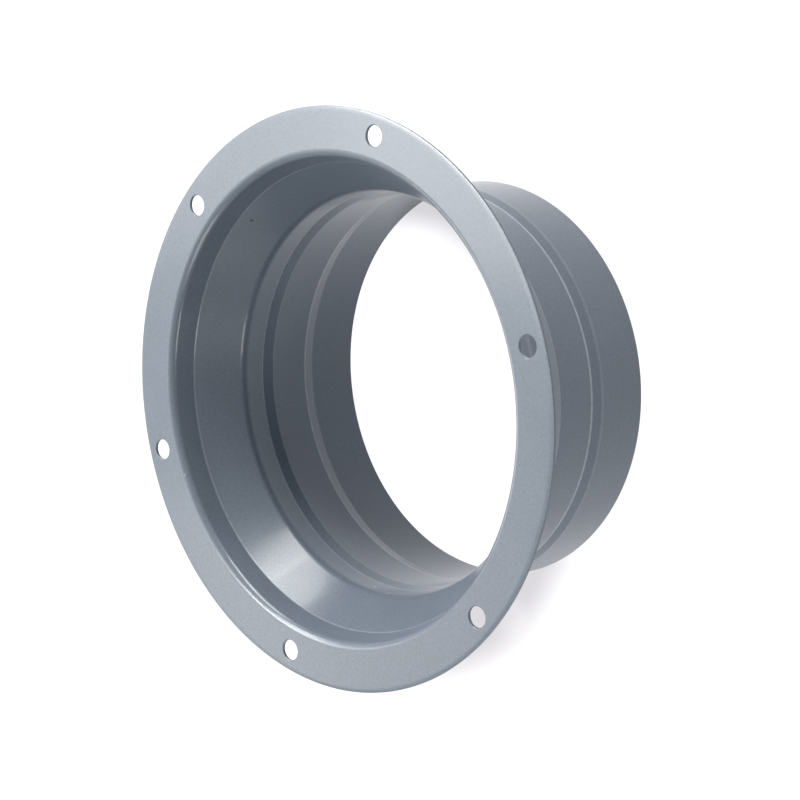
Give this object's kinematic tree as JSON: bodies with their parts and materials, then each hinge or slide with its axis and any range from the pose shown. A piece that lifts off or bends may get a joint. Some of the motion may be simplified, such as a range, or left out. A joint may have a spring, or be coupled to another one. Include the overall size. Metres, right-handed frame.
{
  "type": "duct connector flange",
  "caption": "Round pressed sheet-steel flange with a conical shoulder and a short grooved spigot that a round air duct slides over; screw holes round the flat rim.",
  "frame": {"origin": "centre of the spigot's cut end, which the part stands on", "axes": "+Z along the air path, from the spigot's cut end to the front face of the flange; a screw hole lies on -Y"},
  "size_m": [0.208, 0.208, 0.082],
  "materials": {
    "painted_steel": "smooth semi-gloss dark grey paint"
  },
  "bodies": {
    "root": {"connector_flange": "painted_steel"}
  },
  "joints": []
}
